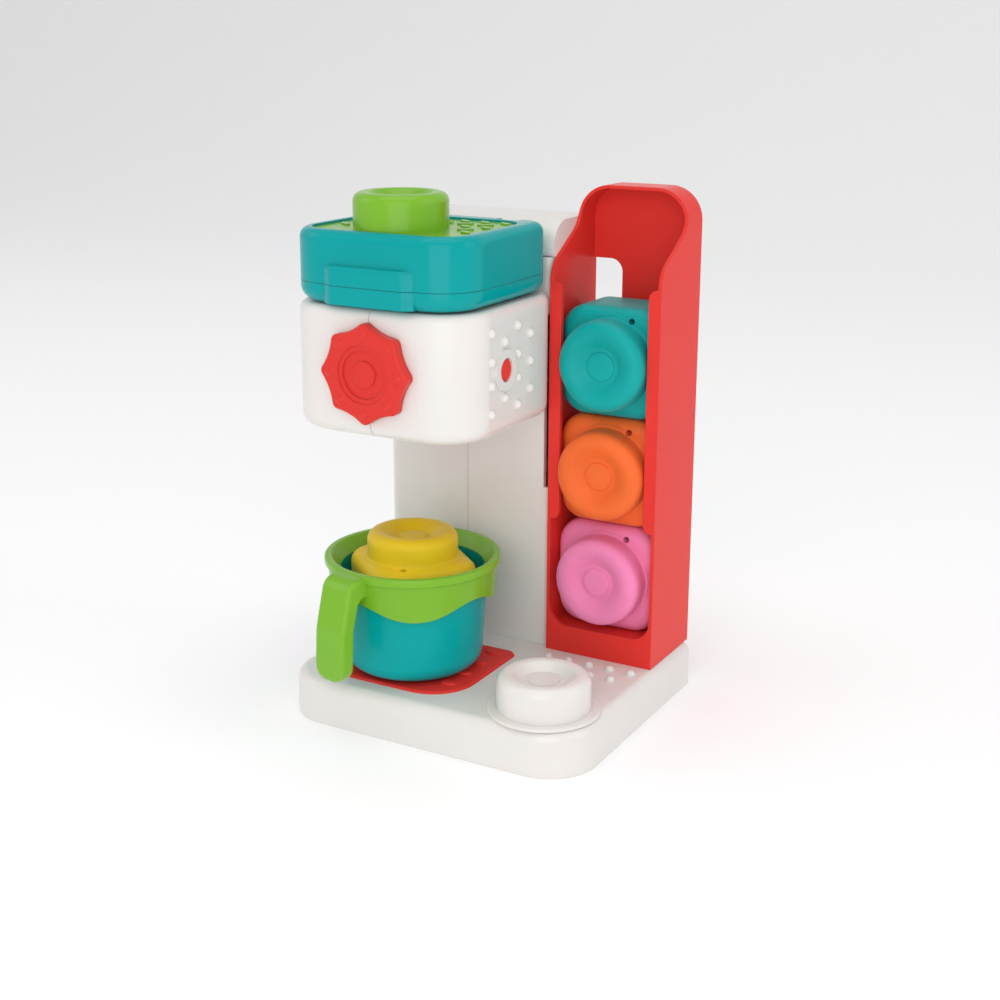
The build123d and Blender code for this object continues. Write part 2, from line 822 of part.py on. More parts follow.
# ---------------------------------------------------------------- hood
skirt_shrink = wall + seat_clearance
hood_inside_top = hood_top - wall
with BuildPart() as hood:
    with BuildSketch(side_plane(column_left)):
        with BuildLine():
            FilletPolyline(
                (column_front_y, column_top),
                (column_front_y, hood_top),
                (base_back_y, hood_top),
                (base_back_y, column_top),
                radius=[hood_lower_radius, hood_front_radius, hood_back_radius, 0],
                close=True,
            )
        make_face()
    extrude(amount=column_width)
    # hollow above a step that carries the skirt
    with BuildSketch(side_plane(column_left + wall)):
        with BuildLine():
            FilletPolyline(
                (column_front_y + wall, column_top + hood_step),
                (column_front_y + wall, hood_inside_top),
                (base_back_y - wall, hood_inside_top),
                (base_back_y - wall, column_top + hood_step),
                radius=[0, hood_front_radius - wall, smallest_radius, 0],
                close=True,
            )
        make_face()
    extrude(amount=column_width - 2 * wall, mode=Mode.SUBTRACT)
    with BuildSketch(Plane.XY.offset(column_top - hood_skirt_height)):
        add(column_outline(skirt_shrink))
    extrude(amount=hood_skirt_height)
    with BuildSketch(Plane.XY.offset(column_top - hood_skirt_height)):
        with Locations((machine_x, column_mid_y)):
            Rectangle(
                column_width - 2 * (skirt_shrink + hood_skirt_thickness),
                column_depth - 2 * (skirt_shrink + hood_skirt_thickness),
            )
    extrude(amount=hood_skirt_height + hood_step, mode=Mode.SUBTRACT)
    # lugs that carry the lid's hinge pins
    for outward in (-1, 1):
        with BuildSketch(side_plane(machine_x + outward * hinge_spacing / 2 - hinge_lug_width / 2)):
            with Locations((hinge_y, hinge_z)):
                Circle(hinge_knuckle_radius)
            with Locations(((hinge_y + column_front_y + 2 * wall) / 2, hinge_z)):
                Rectangle(column_front_y + 2 * wall - hinge_y, hinge_lug_height)
            with Locations((hinge_y, hinge_z)):
                Circle(hinge_pin_radius + running_clearance, mode=Mode.SUBTRACT)
        extrude(amount=hinge_lug_width)
hood.part.label = "hood"
export_step(hood.part, "parts/hood.step")

# ---------------------------------------------------------------- pod well
well_top = head_top - wall
well_flange_depth = 2 * (arm_outer + cradle_end_play - seat_clearance)
well_corner_radius = pod_corner_radius + well_clearance
well_flange_middle = well_top - well_flange_thickness / 2
ear_inner = cradle_outer_radius + ear_clearance
ear_outer = ear_inner + ear_thickness
side_pin_end = head_width / 2 + ring_height - side_pin_sink
with BuildPart() as pod_well:
    # flange under the head's top
    with BuildSketch(Plane.XY.offset(well_top - well_flange_thickness)):
        with Locations((machine_x, pod_axis_y)):
            RectangleRounded(2 * ear_outer, well_flange_depth, well_flange_radius)
            RectangleRounded(2 * well_inner, 2 * well_inner, well_corner_radius, mode=Mode.SUBTRACT)
    extrude(amount=well_flange_thickness)
    # guide walls beside the pod
    with BuildSketch(Plane.XY.offset(axle_height + well_above_axle)):
        with Locations((machine_x, pod_axis_y)):
            with GridLocations(2 * well_inner + well_wall, 0, 2, 1):
                Rectangle(well_wall, 2 * well_wall_half_length)
    extrude(amount=well_flange_middle - axle_height - well_above_axle)
    # ears outside the cradle's sweep, with the pins that snap into the rings
    for outward in (-1, 1):
        with BuildSketch(side_plane(machine_x + outward * ear_inner)):
            with Locations((pod_axis_y, axle_height)):
                Circle(side_pin_radius + ear_margin)
            with Locations((pod_axis_y, (axle_height + well_flange_middle) / 2)):
                Rectangle(2 * (side_pin_radius + ear_margin), well_flange_middle - axle_height)
        extrude(amount=outward * ear_thickness)
        with BuildSketch(side_plane(machine_x + outward * ear_inner)):
            with Locations((pod_axis_y, axle_height)):
                Circle(side_pin_radius)
        extrude(amount=outward * (side_pin_end - ear_inner))
    chamfer(pod_well.faces().filter_by(Axis.X).group_by(Axis.X)[0].edges(), side_pin_chamfer)
    chamfer(pod_well.faces().filter_by(Axis.X).group_by(Axis.X)[-1].edges(), side_pin_chamfer)
pod_well.part.label = "pod_well"
export_step(pod_well.part, "parts/pod_well.step")

# ---------------------------------------------------------------- pod cradle on the knob's axis
knob_back_y = head_front_y - knob_gap
knob_front_y = knob_back_y - knob_thickness
key_hole_width = key_width + 2 * seat_clearance
key_hole_end_y = front_arm_y + cradle_arm_thickness - key_floor


def on_cradle(radius, angle):
    """Point at a radius from the axle, at an angle from straight down."""
    return (machine_x + radius * sin(radians(angle)), axle_height - radius * cos(radians(angle)))


outer_left, outer_low, outer_right = [
    on_cradle(cradle_outer_radius, turn * cradle_half_angle) for turn in (-1, 0, 1)
]
inner_left, inner_low, inner_right = [
    on_cradle(cradle_floor_radius, turn * cradle_half_angle) for turn in (-1, 0, 1)
]

with BuildPart() as pod_cradle:
    # two arms that hang from the axle
    with BuildSketch(front_plane(front_arm_y), front_plane(rear_arm_y - cradle_arm_thickness)):
        with BuildLine():
            Line((machine_x - cradle_hub_radius, axle_height), outer_left)
            ThreePointArc(outer_left, outer_low, outer_right)
            Line(outer_right, (machine_x + cradle_hub_radius, axle_height))
            ThreePointArc(
                (machine_x + cradle_hub_radius, axle_height),
                (machine_x, axle_height + cradle_hub_radius),
                (machine_x - cradle_hub_radius, axle_height),
            )
        make_face()
    extrude(amount=-cradle_arm_thickness)
    # curved floor between the arms
    with BuildSketch(front_plane(front_arm_y)):
        with BuildLine():
            ThreePointArc(outer_left, outer_low, outer_right)
            Line(outer_right, inner_right)
            ThreePointArc(inner_right, inner_low, inner_left)
            Line(inner_left, outer_left)
        make_face()
    extrude(amount=-2 * arm_outer)
    # front journal with the knob's square keyhole, and rear journal
    front_arm_middle_y = front_arm_y + cradle_arm_thickness / 2
    axle_cylinder(journal_radius, knob_back_y + seat_clearance, front_arm_middle_y, Mode.ADD)
    with BuildSketch(front_plane(knob_back_y)):
        with Locations((machine_x, axle_height)):
            Rectangle(key_hole_width, key_hole_width)
    extrude(amount=knob_back_y - key_hole_end_y, mode=Mode.SUBTRACT)
    axle_cylinder(journal_radius, rear_arm_y - cradle_arm_thickness / 2, rear_bearing_end_y, Mode.ADD)
    axle_cylinder(journal_bore_radius, rear_arm_y, rear_bearing_end_y, Mode.SUBTRACT)
pod_cradle.part.label = "pod_cradle"
export_step(pod_cradle.part, "parts/pod_cradle.step")

# ---------------------------------------------------------------- knob
knob_bump = make_dome(knob_bump_radius, knob_bump_height)
lobe_angles = [2 * pi * lobe / knob_lobes for lobe in range(knob_lobes)]
bump_places = [
    (machine_x + knob_bump_circle * cos(angle), knob_front_y, axle_height + knob_bump_circle * sin(angle))
    for angle in lobe_angles
]


def on_knob(radius, angle):
    """Point of the knob's outline at a radius and an angle from the right-hand side."""
    return (machine_x + radius * cos(angle), axle_height + radius * sin(angle))



with BuildPart() as knob:
    with BuildSketch(front_plane(knob_back_y)) as knob_face:
        with BuildLine():
            for angle in lobe_angles:
                ThreePointArc(
                    on_knob(knob_point_radius, angle),
                    on_knob(knob_valley_radius, angle + pi / knob_lobes),
                    on_knob(knob_point_radius, angle + 2 * pi / knob_lobes),
                )
        make_face()
        fillet(knob_face.vertices(), knob_point_rounding)
    extrude(amount=knob_thickness)
    fillet(knob.faces().sort_by(Axis.Y)[0].edges(), knob_edge_radius)
    # shallow dish with a deeper groove that leaves a disc standing in the middle
    axle_cylinder(knob_dish_radius, knob_front_y, knob_front_y + knob_dish_depth, Mode.SUBTRACT)
    with BuildSketch(front_plane(knob_front_y)):
        with Locations((machine_x, axle_height)):
            Circle(knob_groove_radius)
            Circle(knob_disc_radius, mode=Mode.SUBTRACT)
    extrude(amount=-knob_groove_depth, mode=Mode.SUBTRACT)
    # one bump on each lobe
    with Locations(*[Location(place, (90, 0, 0)) for place in bump_places]):
        add(knob_bump)
    # square key behind
    with BuildSketch(front_plane(knob_back_y)):
        with Locations((machine_x, axle_height)):
            Rectangle(key_width, key_width)
    extrude(amount=knob_back_y - key_hole_end_y + seat_clearance)
knob.part.label = "knob"
export_step(knob.part, "parts/knob.step")

# ---------------------------------------------------------------- lid
recess_front_y = -lid_front + lid_front_rim
recess_back_y = lid_back - lid_back_rim
recess_mid_y = (recess_front_y + recess_back_y) / 2
recess_width = lid_width - 2 * lid_side_rim
lid_stud_y = recess_front_y + seat_clearance + lid_stud_margin + stud_radius
lid_ceiling = lid_recess_floor - lid_wall
lid_screw_seat = lid_bottom + screw_head_height + lid_screw_sink
hinge_notch_width = hinge_lug_width + 2 * hinge_side_gap
hinge_notch_front_y = hinge_y - hinge_knuckle_radius - hinge_swing_gap
hinge_notch_bottom = hinge_z - hinge_knuckle_radius - hinge_swing_gap
hinge_places_x = [machine_x + outward * hinge_spacing / 2 for outward in (-1, 1)]


def lid_outline(shrink):
    return rounded_outline(
        lid_width - 2 * shrink,
        -lid_front + shrink,
        lid_back - shrink,
        lid_front_radius - shrink,
        lid_back_radius - shrink,
        machine_x,
    )


def grip_outline():
    """Finger grip that stands out from the lid's front edge."""
    grip_front_y = -lid_front - grip_depth
    grip_back_y = -lid_front + lid_wall
    with BuildSketch(mode=Mode.PRIVATE) as outline:
        with BuildLine():
            FilletPolyline(
                (machine_x - grip_width / 2, grip_back_y),
                (machine_x - grip_width / 2, -lid_front),
                (machine_x - grip_width / 2 + grip_flare, grip_front_y),
                (machine_x + grip_width / 2 - grip_flare, grip_front_y),
                (machine_x + grip_width / 2, -lid_front),
                (machine_x + grip_width / 2, grip_back_y),
                radius=[0, 0, grip_corner_radius, grip_corner_radius, 0, 0],
                close=True,
            )
        make_face()
    return outline.sketch


with BuildPart() as lid_shell:
    with BuildSketch(Plane.XY.offset(lid_split)):
        add(lid_outline(0))
    extrude(amount=lid_top - lid_split)
    fillet(lid_shell.edges().group_by(Axis.Z)[-1], lid_top_edge)
    with BuildSketch(Plane.XY.offset(lid_split)):
        add(grip_outline())
    extrude(amount=grip_height - lid_parting)
    grip_top_edges = lid_shell.faces().filter_by(Axis.Z).sort_by(Axis.Y)[0].edges()
    fillet(grip_top_edges.filter_by(lambda edge: edge.center().Y < -lid_front - same_place), grip_edge_radius)
    with BuildSketch(Plane.XY.offset(lid_split)):
        add(lid_outline(lid_wall))
    extrude(amount=lid_ceiling - lid_split, mode=Mode.SUBTRACT)
    # sunk top that the plate lies in
    with BuildSketch(Plane.XY.offset(lid_recess_floor)):
        with Locations((machine_x, recess_mid_y)):
            RectangleRounded(recess_width, recess_back_y - recess_front_y, lid_recess_radius)
    extrude(amount=lid_recess_depth, mode=Mode.SUBTRACT)
    # posts for the screws from below
    with BuildSketch(Plane.XY.offset(lid_split)):
        with Locations(*lid_screw_places):
            Circle(post_radius)
    extrude(amount=lid_ceiling - lid_split)
    with BuildSketch(Plane.XY.offset(lid_split)):
        with Locations(*lid_screw_places):
            Circle(screw_radius)
    extrude(amount=lid_screw_seat + lid_screw_length + hole_spare - lid_split, mode=Mode.SUBTRACT)
    # pockets for the hood's lugs, open to the top and the back
    pocket_front_y = hinge_notch_front_y - hinge_pocket_wall
    pocket_bottom = hinge_notch_bottom - hinge_pocket_wall
    with BuildSketch(Plane.XY.offset(pocket_bottom)):
        with Locations(*[(x, (pocket_front_y + lid_back - lid_wall / 2) / 2) for x in hinge_places_x]):
            Rectangle(hinge_notch_width + 2 * hinge_pocket_wall, lid_back - lid_wall / 2 - pocket_front_y)
    extrude(amount=lid_ceiling + lid_wall / 2 - pocket_bottom)
    with BuildSketch(Plane.XY.offset(hinge_notch_bottom)):
        with Locations(*[(x, (hinge_notch_front_y + lid_back) / 2) for x in hinge_places_x]):
            Rectangle(hinge_notch_width, lid_back - hinge_notch_front_y)
    extrude(amount=lid_top - hinge_notch_bottom, mode=Mode.SUBTRACT)
    with BuildSketch(*[side_plane(x - hinge_notch_width / 2 - hinge_pocket_wall) for x in hinge_places_x]):
        with Locations((hinge_y, hinge_z)):
            Circle(hinge_pin_radius + running_clearance)
    extrude(amount=hinge_notch_width + 2 * hinge_pocket_wall, mode=Mode.SUBTRACT)
lid_shell.part.label = "lid_shell"
export_step(lid_shell.part, "parts/lid_shell.step")

with BuildPart(mode=Mode.PRIVATE) as lid_base_inside:
    with BuildSketch(Plane.XY.offset(lid_bottom + lid_wall)):
        add(lid_outline(lid_wall))
    extrude(amount=lid_parting - lid_wall)
    fillet(lid_base_inside.edges().group_by(Axis.Z)[0], lid_bottom_edge - lid_wall)

with BuildPart() as lid_base:
    with BuildSketch(Plane.XY.offset(lid_bottom)):
        add(lid_outline(0))
    extrude(amount=lid_parting)
    fillet(lid_base.edges().group_by(Axis.Z)[0], lid_bottom_edge)
    with BuildSketch(Plane.XY.offset(lid_bottom + grip_bottom_gap)):
        add(grip_outline())
    extrude(amount=lid_parting - grip_bottom_gap)
    add(lid_base_inside.part, mode=Mode.SUBTRACT)
    # tongue that locates the upper half
    with BuildSketch(Plane.XY.offset(lid_split - lid_tongue_height)):
        add(lid_outline(lid_wall + seat_clearance))
        add(lid_outline(lid_wall + seat_clearance + lid_tongue_thickness), mode=Mode.SUBTRACT)
    extrude(amount=2 * lid_tongue_height)
    with BuildSketch(Plane.XY.offset(lid_split - lid_tongue_height)):
        add(lid_outline(lid_wall / 2))
        add(lid_outline(lid_wall + seat_clearance + lid_tongue_thickness), mode=Mode.SUBTRACT)
    extrude(amount=lid_tongue_height)
    # ribs across the tray, and the screw posts
    with BuildSketch(Plane.XY.offset(lid_bottom + lid_wall / 2)):
        with Locations((machine_x, recess_mid_y)):
            Rectangle(rib_thickness, lid_front + lid_back - 2 * lid_wall)
            Rectangle(lid_width - 2 * lid_wall, rib_thickness)
        with Locations(*lid_screw_places):
            Circle(counterbore_boss_radius)
    extrude(amount=lid_parting - lid_wall / 2)
    with Locations(*[Location((x, y, lid_bottom), (180, 0, 0)) for x, y in lid_screw_places]):
        CounterBoreHole(screw_radius, counterbore_radius, lid_screw_seat - lid_bottom, lid_parting)
lid_base.part.label = "lid_base"
export_step(lid_base.part, "parts/lid_base.step")

lid_screws = make_screws(
    [Plane(origin=(x, y, lid_screw_seat)) for x, y in lid_screw_places], lid_screw_length
)
lid_screws.part.label = "lid_screws"
export_step(lid_screws.part, "parts/lid_screws.step")

lid_plate_top = lid_recess_floor + lid_plate_thickness
lid_stud_top = lid_plate_top + lid_stud_height
lid_stud_ceiling = lid_stud_top - stud_dish_depth - hollow_stud_wall
leaf_places = []
for row in range(leaf_rows):
    leaves_in_row = leaf_columns - row % 2
    leaf_y = recess_back_y - leaf_margin - leaf_half_length / 2 - row * leaf_pitch_y
    turn = leaf_turn if row % 2 else -leaf_turn
    for spot in range(leaves_in_row):
        leaf_x = (spot - (leaves_in_row - 1) / 2) * leaf_pitch_x
        if sqrt(leaf_x**2 + (leaf_y - lid_stud_y) ** 2) > stud_radius + leaf_margin:
            leaf_places.append(Location((machine_x + leaf_x, leaf_y, 0), (0, 0, turn)))

with BuildPart() as lid_plate:
    with BuildSketch(Plane.XY.offset(lid_recess_floor)):
        with Locations((machine_x, recess_mid_y)):
            RectangleRounded(
                recess_width - 2 * seat_clearance,
                recess_back_y - recess_front_y - 2 * seat_clearance,
                lid_recess_radius - seat_clearance,
            )
    extrude(amount=lid_plate_thickness)
    with BuildSketch(Plane(origin=(machine_x, lid_stud_y, 0), x_dir=(1, 0, 0), z_dir=(0, -1, 0))):
        with BuildLine():
            FilletPolyline(
                *stud_profile(lid_stud_top, lid_recess_floor),
                (0, lid_recess_floor),
                radius=[*stud_rounding, 0],
                close=True,
            )
        make_face()
    revolve(axis=Axis((machine_x, lid_stud_y, 0), (0, 0, 1)))
    with BuildSketch(Plane.XY.offset(lid_recess_floor)):
        with Locations((machine_x, lid_stud_y)):
            Circle(stud_radius - hollow_stud_wall)
    extrude(amount=lid_stud_ceiling - lid_recess_floor, mode=Mode.SUBTRACT)
    with BuildSketch(Plane.XY.offset(lid_plate_top)):
        with Locations(*leaf_places):
            Ellipse(leaf_half_length, leaf_half_width)
    extrude(amount=leaf_height)
lid_plate.part.label = "lid_plate"
export_step(lid_plate.part, "parts/lid_plate.step")

with BuildPart() as lid_hinge_pins:
    with BuildSketch(
        *[side_plane(x - hinge_notch_width / 2 - hinge_pocket_wall + seat_clearance) for x in hinge_places_x]
    ):
        with Locations((hinge_y, hinge_z)):
            Circle(hinge_pin_radius)
    extrude(amount=hinge_notch_width + 2 * hinge_pocket_wall - 2 * seat_clearance)
    chamfer(lid_hinge_pins.edges().filter_by(GeomType.CIRCLE), hinge_pin_chamfer)
lid_hinge_pins.part.label = "lid_hinge_pins"
export_step(lid_hinge_pins.part, "parts/lid_hinge_pins.step")

# ---------------------------------------------------------------- pod dispenser
def dispenser_outline(shrink, z_low):
    """Dispenser as seen from the front: square at the bottom and rounded at the top."""
    outline_top = dispenser_top - shrink
    with BuildSketch(mode=Mode.PRIVATE) as outline:
        with Locations((dispenser_x, (z_low + outline_top) / 2)):
            Rectangle(dispenser_width - 2 * shrink, outline_top - z_low)
        fillet(outline.vertices().group_by(Axis.Y)[-1], dispenser_top_radius - shrink)
    return outline.sketch


dispenser_inside_width = dispenser_width - 2 * dispenser_wall
dispenser_mid_y = (dispenser_front_y + base_back_y) / 2
plinth_ceiling = dispenser_floor - dispenser_floor_thickness
latch_x = dispenser_left - latch_reach
with BuildPart() as dispenser:
    with BuildSketch(front_plane(dispenser_front_y)):
        add(dispenser_outline(0, base_height))
    extrude(amount=-dispenser_depth)
    with BuildSketch(front_plane(dispenser_front_y)):
        add(dispenser_outline(dispenser_wall, dispenser_floor))
    extrude(amount=-dispenser_depth + dispenser_back_wall, mode=Mode.SUBTRACT)
    # front lips that hold the pods in, rounded at both ends
    for outward in (-1, 1):
        lip_x = dispenser_x + outward * (dispenser_width - lip_width) / 2
        with BuildSketch(front_plane(dispenser_front_y)) as lip:
            with Locations((lip_x, (lip_bottom + lip_top) / 2)):
                Rectangle(lip_width, lip_top - lip_bottom)
            fillet(lip.vertices().group_by(Axis.X)[0 if outward > 0 else -1], lip_end_radius)
        extrude(amount=-lip_thickness)
    # sill of the exit window, turned up at its corners
    with BuildSketch(front_plane(dispenser_front_y)):
        with Locations((dispenser_x, dispenser_floor + sill_radius / 2)):
            Rectangle(dispenser_width - dispenser_wall, sill_radius)
        with Locations((dispenser_x, dispenser_floor + 2 * sill_radius)):
            RectangleRounded(dispenser_inside_width, 4 * sill_radius, sill_radius, mode=Mode.SUBTRACT)
    extrude(amount=-lip_thickness)
    # the upper front stands back behind an S-curve
    with BuildSketch(side_plane(dispenser_left)):
        with BuildLine():
            FilletPolyline(
                (dispenser_front_y, base_height),
                (dispenser_front_y, scoop_low),
                (dispenser_front_y + scoop_depth, scoop_high),
                (dispenser_front_y + scoop_depth, dispenser_top),
                (base_back_y, dispenser_top),
                (base_back_y, base_height),
                radius=[0, scoop_radius, scoop_radius, 0, 0, 0],
                close=True,
            )
        make_face()
    extrude(amount=dispenser_width, mode=Mode.INTERSECT)
    # plinth, open below, with the screw posts
    with BuildSketch(Plane.XY.offset(base_height)):
        with Locations((dispenser_x, dispenser_mid_y)):
            Rectangle(dispenser_inside_width, dispenser_depth - 2 * dispenser_back_wall)
        with Locations(*dispenser_screw_places):
            Circle(post_radius, mode=Mode.SUBTRACT)
    extrude(amount=plinth_ceiling - base_height, mode=Mode.SUBTRACT)
    with BuildSketch(Plane.XY.offset(base_height)):
        with Locations(*dispenser_screw_places):
            Circle(screw_radius)
    extrude(amount=dispenser_screw_length - wall + hole_spare, mode=Mode.SUBTRACT)
    # slot in the back wall for a finger
    back_slot_x = dispenser_left + dispenser_wall + back_slot_width / 2
    with BuildSketch(front_plane(dispenser_inside_back_y)) as back_slot:
        with Locations((back_slot_x, (back_slot_bottom + back_slot_top) / 2)):
            Rectangle(back_slot_width, back_slot_top - back_slot_bottom)
        fillet(back_slot.vertices().group_by(Axis.X)[-1], back_slot_radius)
    extrude(amount=-dispenser_back_wall, mode=Mode.SUBTRACT)
    # latch that reaches into the column's slot
    with BuildSketch(Plane.XY.offset(latch_slot_low + latch_clearance)):
        with Locations(
            (
                (latch_x + dispenser_left + dispenser_wall / 2) / 2,
                column_front_y + latch_slot_depth - latch_clearance - latch_thickness / 2,
            )
        ):
            Rectangle(dispenser_left + dispenser_wall / 2 - latch_x, latch_thickness)
    extrude(amount=latch_slot_high - latch_slot_low - 2 * latch_clearance)
dispenser.part.label = "dispenser"
export_step(dispenser.part, "parts/dispenser.step")

# ---------------------------------------------------------------- cup
cup_section_plane = Plane(origin=(machine_x, cup_y, 0), x_dir=(1, 0, 0), z_dir=(0, -1, 0))
cup_axis = Axis((machine_x, cup_y, 0), (0, 0, 1))
cup_rib_top = cup_pod_bottom - pod_clearance


def cup_body_radius(height):
    """Outer radius of the tapered cup at a height."""
    share = (height - cup_bottom) / (cup_body_top - cup_bottom)
    return cup_body_low_radius + share * (cup_body_top_radius - cup_body_low_radius)


with BuildPart() as cup_body:
    with BuildSketch(cup_section_plane):
        with BuildLine():
            FilletPolyline(
                (0, cup_bottom),
                (cup_body_low_radius, cup_bottom),
                (cup_body_top_radius, cup_body_top),
                (cup_body_top_radius - cup_wall, cup_body_top),
                (cup_body_low_radius - cup_wall, cup_bottom + cup_floor),
                (0, cup_bottom + cup_floor),
                radius=[0, cup_foot_radius, 0, 0, cup_foot_radius - cup_wall, 0],
                close=True,
            )
        make_face()
    revolve(axis=cup_axis)
    # ribs inside that a pod comes to rest on
    for rib in range(cup_ribs):
        rib_angle = radians(cup_pod_turn + 45) + 2 * pi * rib / cup_ribs
        rib_plane = Plane(
            origin=(machine_x, cup_y, 0),
            x_dir=(cos(rib_angle), sin(rib_angle), 0),
            z_dir=(sin(rib_angle), -cos(rib_angle), 0),
        )
        with BuildSketch(rib_plane):
            with BuildLine():
                Polyline(
                    (cup_rib_inner_radius, cup_bottom + cup_floor / 2),
                    (cup_rib_inner_radius, cup_rib_top),
                    (cup_body_radius(cup_rib_top) - cup_wall / 2, cup_rib_top),
                    (cup_body_low_radius - cup_rib_toe, cup_bottom + cup_rib_toe),
                    (cup_body_low_radius - cup_foot_radius, cup_bottom + cup_floor / 2),
                    close=True,
                )
            make_face()
        extrude(amount=rib_thickness / 2, both=True)
cup_body.part.label = "cup_body"
export_step(cup_body.part, "parts/cup_body.step")

cup_rim_low = cup_rim_height - cup_rim_band
rim_inner_radius = cup_rim_radius - cup_rim_thickness
collar_seat = cup_body_top + seat_clearance
wave_half_span = cup_skirt_low_radius * sin(pi / 4) + wave_overlap
handle_direction = radians(handle_angle)
handle_plane = Plane(
    origin=(machine_x, cup_y, 0),
    x_dir=(cos(handle_direction), sin(handle_direction), 0),
    z_dir=(sin(handle_direction), -cos(handle_direction), 0),
)
# Handle: a strap that leaves the rim and hangs free
with BuildPart(mode=Mode.PRIVATE) as handle:
    with BuildSketch(handle_plane):
        with BuildLine():
            FilletPolyline(
                (handle_root, cup_rim_height - handle_sink),
                (handle_shoulder, cup_rim_height - handle_sink),
                (handle_knee, cup_rim_height - handle_drop),
                (handle_reach, handle_bottom),
                (handle_reach - handle_thickness, handle_bottom),
                (handle_knee - handle_thickness, cup_rim_height - handle_drop),
                (handle_armpit, cup_rim_height - handle_root_height),
                (handle_root, cup_rim_height - handle_root_height),
                radius=[0, handle_shoulder_radius, handle_bend_radius, 0]
                + [0, handle_bend_radius, handle_armpit_radius, 0],
                close=True,
            )
        make_face()
    extrude(amount=handle_width / 2, both=True)
    # seen from outside the lower end is rounded, and a soft edge runs all round the strap
    handle_end = handle.faces().sort_by(Axis.Z)[0]
    fillet(handle_end.edges().filter_by(Axis((0, 0, 0), handle_plane.x_dir)), handle_corner_radius)
    handle_end = handle.faces().sort_by(Axis.Z)[0]
    fillet(handle_end.edges().filter_by(Axis((0, 0, 0), handle_plane.z_dir)), handle_edge_radius)

with BuildPart() as cup_collar:
    with BuildSketch(cup_section_plane):
        with BuildLine():
            FilletPolyline(
                (cup_body_radius(cup_skirt_low) + seat_clearance, cup_skirt_low),
                (cup_skirt_low_radius, cup_skirt_low),
                (cup_skirt_top_radius, cup_rim_low),
                (cup_rim_radius, cup_rim_low),
                (cup_rim_radius, cup_rim_height),
                (rim_inner_radius, cup_rim_height),
                (cup_body_top_radius - cup_wall, collar_seat),
                (cup_body_top_radius + seat_clearance, collar_seat),
                radius=[0, 0, 0, cup_rim_edge_radius, cup_rim_edge_radius, cup_rim_edge_radius, 0, 0],
                close=True,
            )
        make_face()
    revolve(axis=cup_axis)
    # the lower edge waves up once in each quarter
    for quarter in range(4):
        wave_direction = handle_direction + quarter * pi / 2
        wave_plane = Plane(
            origin=(machine_x, cup_y, 0),
            x_dir=(-sin(wave_direction), cos(wave_direction), 0),
            z_dir=(cos(wave_direction), sin(wave_direction), 0),
        )
        with BuildSketch(wave_plane):
            with BuildLine():
                Spline((-wave_half_span, cup_skirt_low), (0, cup_skirt_high), tangents=((1, 0), (1, 0)))
                Spline((0, cup_skirt_high), (wave_half_span, cup_skirt_low), tangents=((1, 0), (1, 0)))
                Line((wave_half_span, cup_skirt_low), (-wave_half_span, cup_skirt_low))
            make_face()
        extrude(amount=cup_rim_radius, mode=Mode.SUBTRACT)
    add(handle.part)
cup_collar.part.label = "cup_collar"
export_step(cup_collar.part, "parts/cup_collar.step")
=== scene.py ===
import math

import bmesh
import bpy
from mathutils import Matrix, Vector


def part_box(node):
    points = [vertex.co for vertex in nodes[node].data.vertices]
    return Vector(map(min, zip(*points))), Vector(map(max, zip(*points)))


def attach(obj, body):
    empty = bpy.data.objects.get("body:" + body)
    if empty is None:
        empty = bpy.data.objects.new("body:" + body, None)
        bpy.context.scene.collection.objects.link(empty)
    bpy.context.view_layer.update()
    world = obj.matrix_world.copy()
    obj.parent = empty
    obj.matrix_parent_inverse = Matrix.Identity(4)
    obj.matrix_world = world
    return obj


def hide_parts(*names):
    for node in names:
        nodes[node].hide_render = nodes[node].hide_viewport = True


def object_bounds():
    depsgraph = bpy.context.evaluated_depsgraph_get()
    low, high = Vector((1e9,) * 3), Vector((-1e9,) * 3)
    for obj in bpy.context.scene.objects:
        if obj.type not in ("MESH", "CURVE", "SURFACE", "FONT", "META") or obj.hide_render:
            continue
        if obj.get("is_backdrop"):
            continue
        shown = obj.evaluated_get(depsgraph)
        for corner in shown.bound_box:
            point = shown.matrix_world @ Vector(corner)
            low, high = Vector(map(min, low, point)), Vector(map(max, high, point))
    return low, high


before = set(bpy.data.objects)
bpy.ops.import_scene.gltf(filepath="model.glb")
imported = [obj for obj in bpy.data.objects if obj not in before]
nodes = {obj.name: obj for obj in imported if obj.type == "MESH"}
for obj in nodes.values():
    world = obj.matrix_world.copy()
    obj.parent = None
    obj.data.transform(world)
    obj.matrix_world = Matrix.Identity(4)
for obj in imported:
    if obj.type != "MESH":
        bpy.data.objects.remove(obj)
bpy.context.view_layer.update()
scene = bpy.context.scene
MM = 0.001

# ---------------------------------------------------------------- colours, linear
WHITE = (0.77, 0.74, 0.71)
RED = (0.79, 0.043, 0.034)
KNOB_RED = (0.70, 0.034, 0.026)
LID_TEAL = (0.000, 0.330, 0.335)
CUP_TEAL = (0.000, 0.360, 0.365)
GREEN = (0.192, 0.450, 0.020)
SOFT_PINK = (0.88, 0.245, 0.470)
SOFT_ORANGE = (0.90, 0.160, 0.030)
SOFT_TEAL = (0.000, 0.375, 0.360)
SOFT_YELLOW = (0.78, 0.560, 0.014)
DARK_ZINC, LIGHT_ZINC = (0.46, 0.46, 0.47), (0.66, 0.66, 0.65)
DARK_PAPER, LIGHT_PAPER = (0.90, 0.90, 0.90), (0.915, 0.915, 0.915)

# ---------------------------------------------------------------- wear and parting lines
# cosine between the rounded and the true normal where a rubbed edge begins and where it is full
EDGE_BEGINS, EDGE_FULL = 0.985, 0.80
EDGE_RADIUS = 0.45 * MM
WORN_LIGHTER, WORN_ROUGHER = 0.16, 0.12
SEAM_COVER, SEAM_DARK, SEAM_CORE = 0.75, 0.30, 0.45
